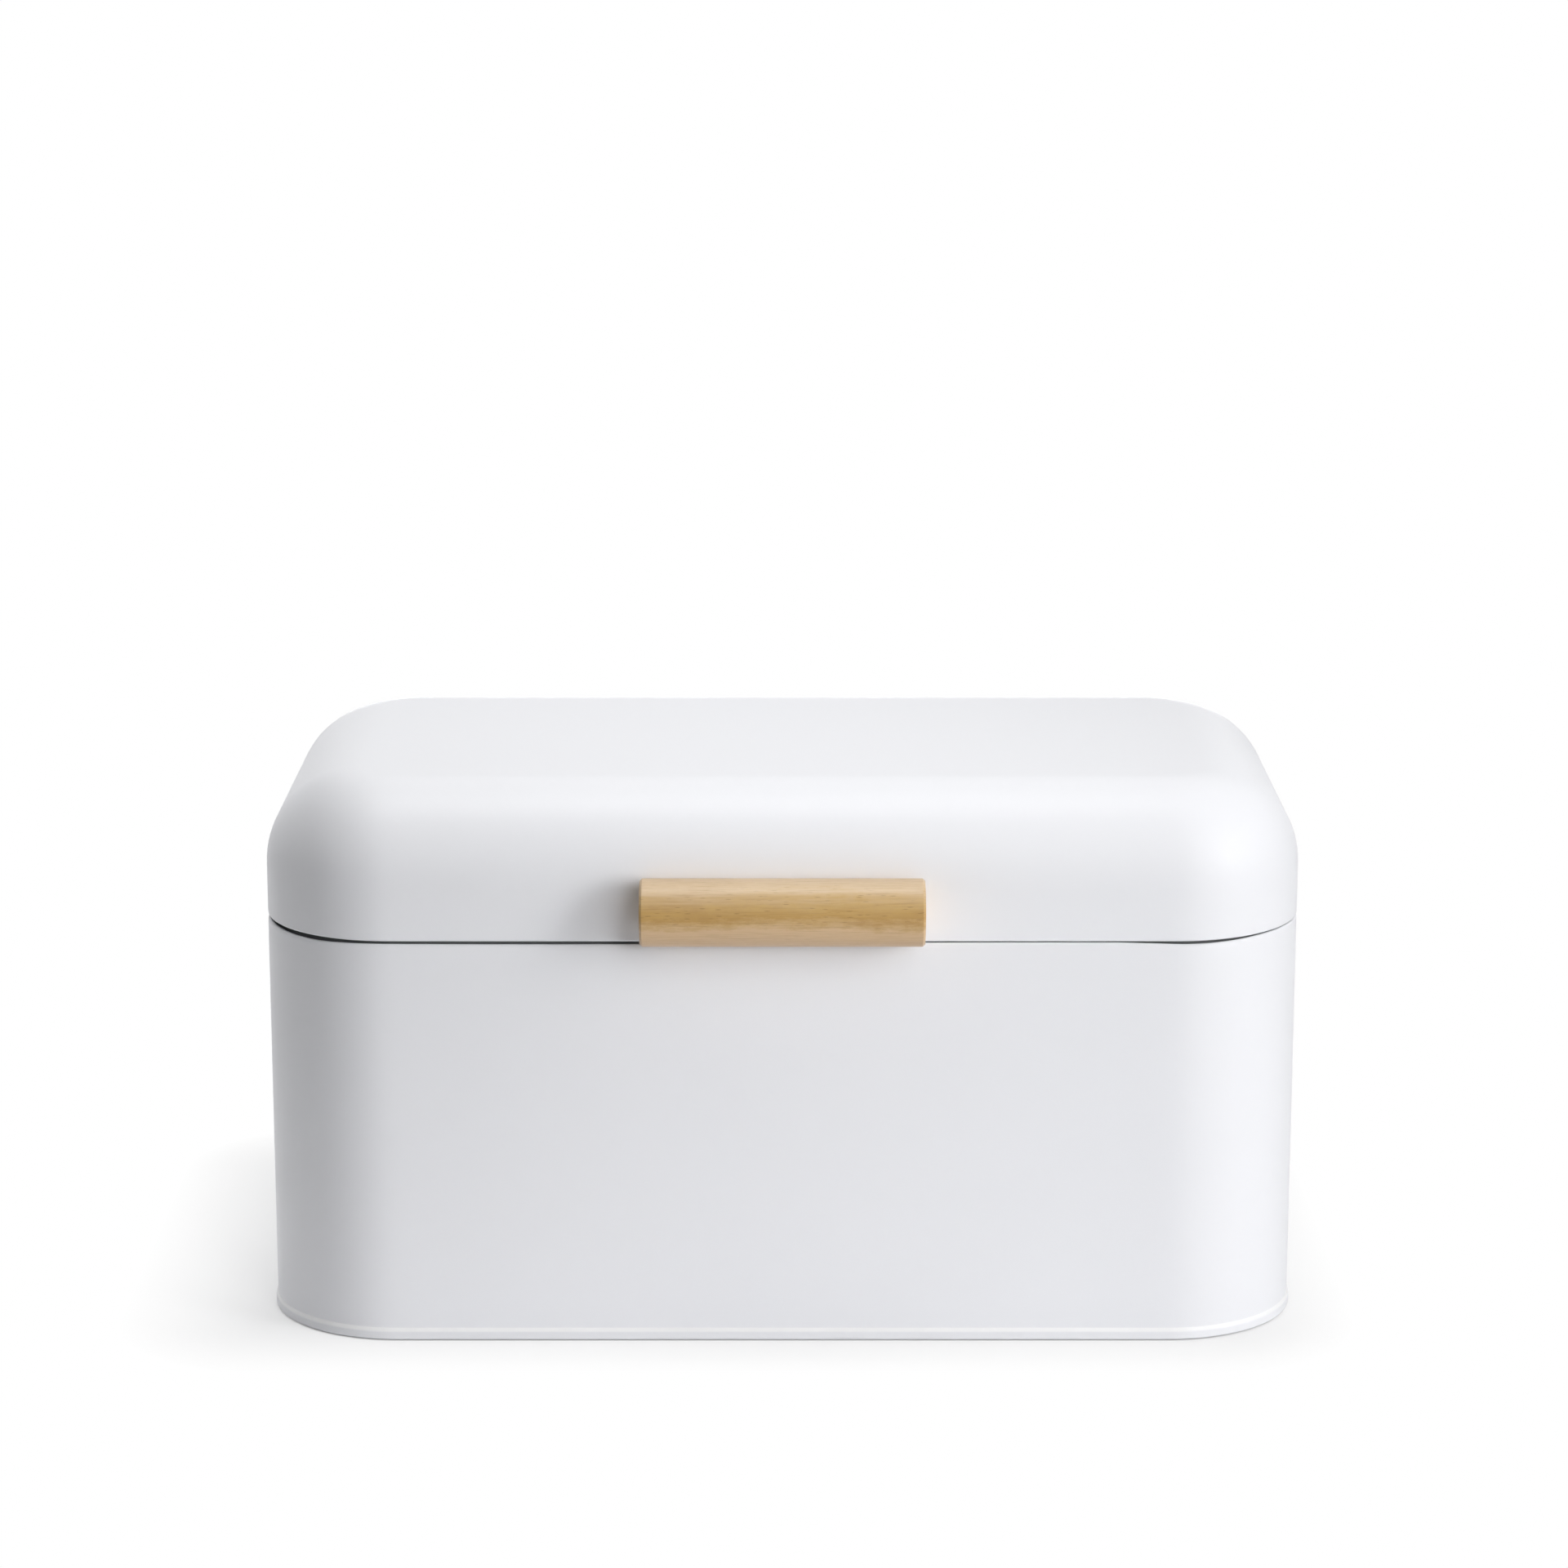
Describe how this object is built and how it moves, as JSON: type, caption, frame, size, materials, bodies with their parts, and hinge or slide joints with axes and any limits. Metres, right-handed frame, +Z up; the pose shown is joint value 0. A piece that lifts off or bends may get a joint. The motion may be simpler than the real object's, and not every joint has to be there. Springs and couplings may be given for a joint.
{
  "type": "bread box",
  "caption": "Rounded sheet-steel bread box with a deep lid hinged at the back, which swings up and over, and a wooden bar handle on the lid's front.",
  "frame": {"origin": "centre of the overall footprint, handle and hinges included, on the surface that the feet stand on", "axes": "+X to the right seen from the front, +Y to the back, where the hinges are, +Z up"},
  "size_m": [0.3414, 0.2112, 0.1835],
  "materials": {
    "white_coating": "satin white powder coat on steel sheet",
    "pale_wood": "sanded pale hardwood, grain along the bar",
    "grey_rubber": "matt rubber",
    "plated_hinge": "zinc-plated steel leaf",
    "plated_fastener": "bright plated steel"
  },
  "bodies": {
    "body": {"body_wall": "white_coating", "base_pan": "white_coating", "foot_front_left": "grey_rubber", "foot_front_right": "grey_rubber", "foot_back_left": "grey_rubber", "foot_back_right": "grey_rubber", "hinge_body_leaf_left": "plated_hinge", "hinge_body_leaf_right": "plated_hinge", "hinge_pin_left": "plated_fastener", "hinge_pin_right": "plated_fastener", "hinge_body_rivets_left": "plated_fastener", "hinge_body_rivets_right": "plated_fastener"},
    "lid": {"lid_shell": "white_coating", "handle_bar": "pale_wood", "handle_screw_left": "plated_fastener", "handle_screw_right": "plated_fastener", "handle_washer_left": "plated_fastener", "handle_washer_right": "plated_fastener", "hinge_lid_leaf_left": "plated_hinge", "hinge_lid_leaf_right": "plated_hinge", "hinge_lid_rivets_left": "plated_fastener", "hinge_lid_rivets_right": "plated_fastener"}
  },
  "joints": [
    {"name": "lid_hinge", "type": "hinge", "parent": "body", "child": "lid", "pos_m": [0, 0.09983, 0.13517], "axis": [-1, 0, 0], "range_deg": [0, 100]}
  ]
}
